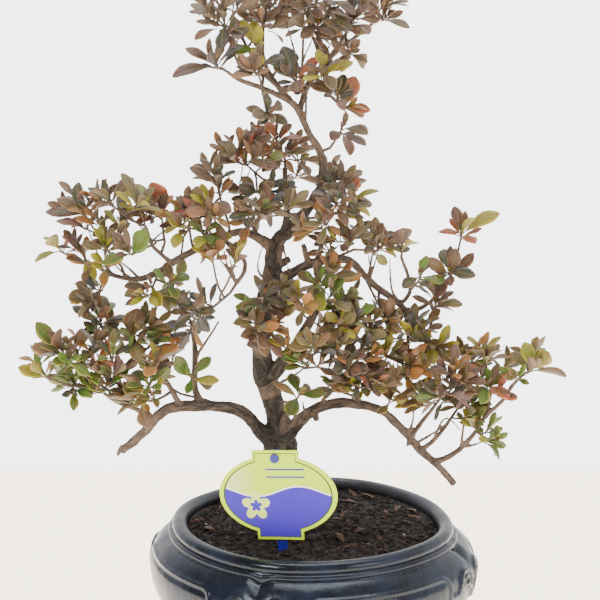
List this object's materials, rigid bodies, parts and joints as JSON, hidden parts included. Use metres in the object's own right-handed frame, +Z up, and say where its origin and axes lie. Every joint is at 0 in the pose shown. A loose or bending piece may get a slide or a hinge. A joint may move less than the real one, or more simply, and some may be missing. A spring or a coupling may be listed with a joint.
{
  "type": "rhododendron bonsai",
  "caption": "Small-leaved rhododendron trained as a bonsai, with a crooked trunk, spreading limbs and bronze-green leaves, standing in soil in a glazed round pot.",
  "frame": {"origin": "on the table under the middle of the whole plant's box, about 14 mm to the left of the pot's axis", "axes": "+Z up; +X to the right and +Y away from the viewer in the front view, the side with the label"},
  "size_m": [0.3547, 0.2194, 0.4524],
  "materials": {
    "navy_glaze": "gloss",
    "peat": "matte",
    "bark": "matte",
    "label_plastic": "satin",
    "stake_plastic": "satin",
    "leaf_bronze": "satin",
    "leaf_pink_brown": "satin",
    "leaf_olive": "satin",
    "leaf_slate": "satin",
    "leaf_orange": "satin",
    "leaf_yellow_green": "satin",
    "leaf_green": "satin"
  },
  "bodies": {
    "root": {"pot": "navy_glaze", "soil": "peat", "tree_wood": "bark", "label_plate": "label_plastic", "label_stake": "stake_plastic", "spray_crown_far_left": "leaf_bronze", "spray_crown_top_left": "leaf_olive", "spray_crown_left_front": "leaf_olive", "spray_crown_middle": "leaf_bronze", "spray_crown_right_front": "leaf_slate", "spray_crown_right_mass": "leaf_bronze", "spray_crown_right_top": "leaf_bronze", "spray_crown_far_right": "leaf_bronze", "spray_crown_back": "leaf_olive", "spray_crown_back_left": "leaf_slate", "spray_crown_skirt": "leaf_bronze", "spray_middle_back": "leaf_bronze", "spray_middle_left": "leaf_bronze", "spray_middle_left_high": "leaf_bronze", "spray_middle_left_low": "leaf_yellow_green", "spray_middle_front": "leaf_olive", "spray_middle_right_high": "leaf_bronze", "spray_middle_right": "leaf_olive", "spray_middle_right_low": "leaf_olive", "spray_middle_rear": "leaf_bronze", "spray_left_far_top": "leaf_yellow_green", "spray_left_far_high": "leaf_yellow_green", "spray_left_far": "leaf_orange", "spray_left_far_low": "leaf_olive", "spray_left_red": "leaf_green", "spray_left_under": "leaf_bronze", "spray_left_hanging": "leaf_yellow_green", "spray_left_rear": "leaf_olive", "spray_low_left_far": "leaf_green", "spray_low_left_out": "leaf_bronze", "spray_low_left_high": "leaf_slate", "spray_low_left_top": "leaf_bronze", "spray_low_left_front": "leaf_orange", "spray_low_left_inner": "leaf_olive", "spray_low_left_back": "leaf_olive", "spray_low_left_rear": "leaf_bronze", "spray_trunk_front": "leaf_bronze", "spray_centre_green": "leaf_green", "spray_centre_twig": "leaf_orange", "spray_centre_right": "leaf_olive", "spray_centre_low": "leaf_slate", "spray_right_inner": "leaf_olive", "spray_right_low_end": "leaf_orange", "spray_right_low_inner": "leaf_bronze", "spray_right_top": "leaf_pink_brown", "spray_right_front": "leaf_green", "spray_right_far_high": "leaf_pink_brown", "spray_right_middle": "leaf_bronze", "spray_right_rear": "leaf_bronze", "spray_low_right_front": "leaf_pink_brown", "spray_low_right_middle": "leaf_bronze", "spray_low_right_out": "leaf_bronze", "spray_low_right_far": "leaf_pink_brown", "spray_low_right_under": "leaf_green", "spray_rear_low": "leaf_bronze"}
  },
  "joints": []
}
